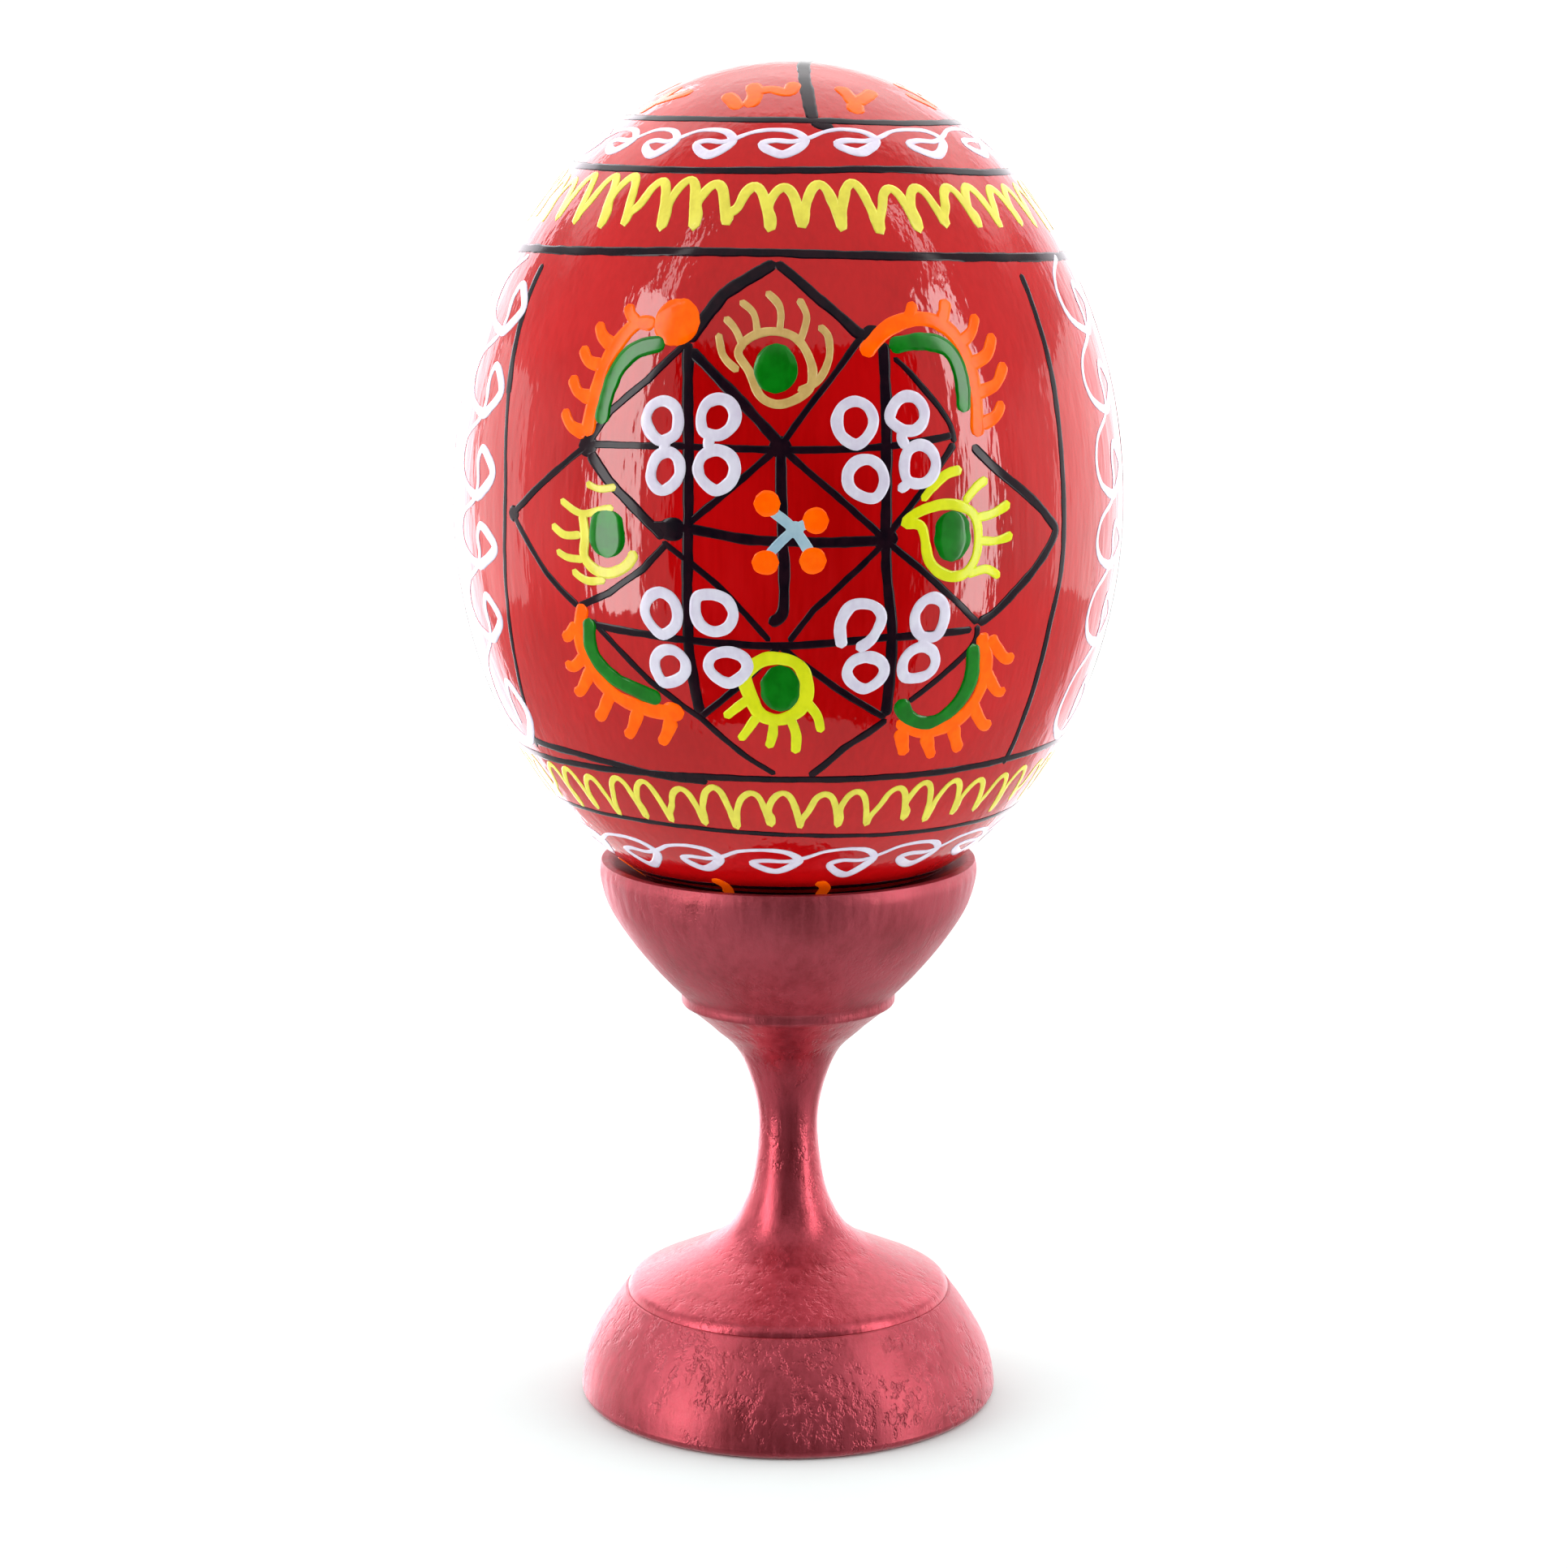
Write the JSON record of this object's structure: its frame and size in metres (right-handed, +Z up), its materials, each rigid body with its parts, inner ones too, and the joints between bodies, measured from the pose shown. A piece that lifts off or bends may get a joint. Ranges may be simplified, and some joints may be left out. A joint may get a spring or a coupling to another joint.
{
  "type": "decorated egg on stand",
  "caption": "Painted wooden Easter egg resting in the cup of a turned stand with a slim stem and a domed foot.",
  "frame": {"origin": "centre of the foot's flat underside", "axes": "+Z up along the turning axis of the stand and the egg, -Y towards the egg's front panel"},
  "size_m": [0.047, 0.047, 0.096],
  "materials": {
    "egg_red_lacquer": "deep red paint under clear gloss varnish, fine upright grain",
    "stand_cup_paint": "satin metallic pink-red paint over upright grain",
    "stand_stem_paint": "satin metallic pink-red paint",
    "stand_foot_paint": "satin metallic pink-red paint with torn grain showing",
    "paint_black": "raised black brush line under gloss varnish",
    "paint_white": "raised off-white brush line",
    "paint_orange": "raised orange brush line",
    "paint_green": "raised green brush line",
    "paint_yellow": "raised yellow brush line",
    "paint_tan": "raised tan brush line",
    "paint_pale_blue": "raised pale blue brush line"
  },
  "bodies": {
    "stand": {"stand_cup": "stand_cup_paint", "stand_stem": "stand_stem_paint", "stand_foot": "stand_foot_paint"},
    "egg": {"egg": "egg_red_lacquer"}
  },
  "joints": [
    {"name": "egg_lift", "type": "slide", "parent": "stand", "child": "egg", "axis": [0, 0, 1], "range_m": [0, 0.03]}
  ]
}
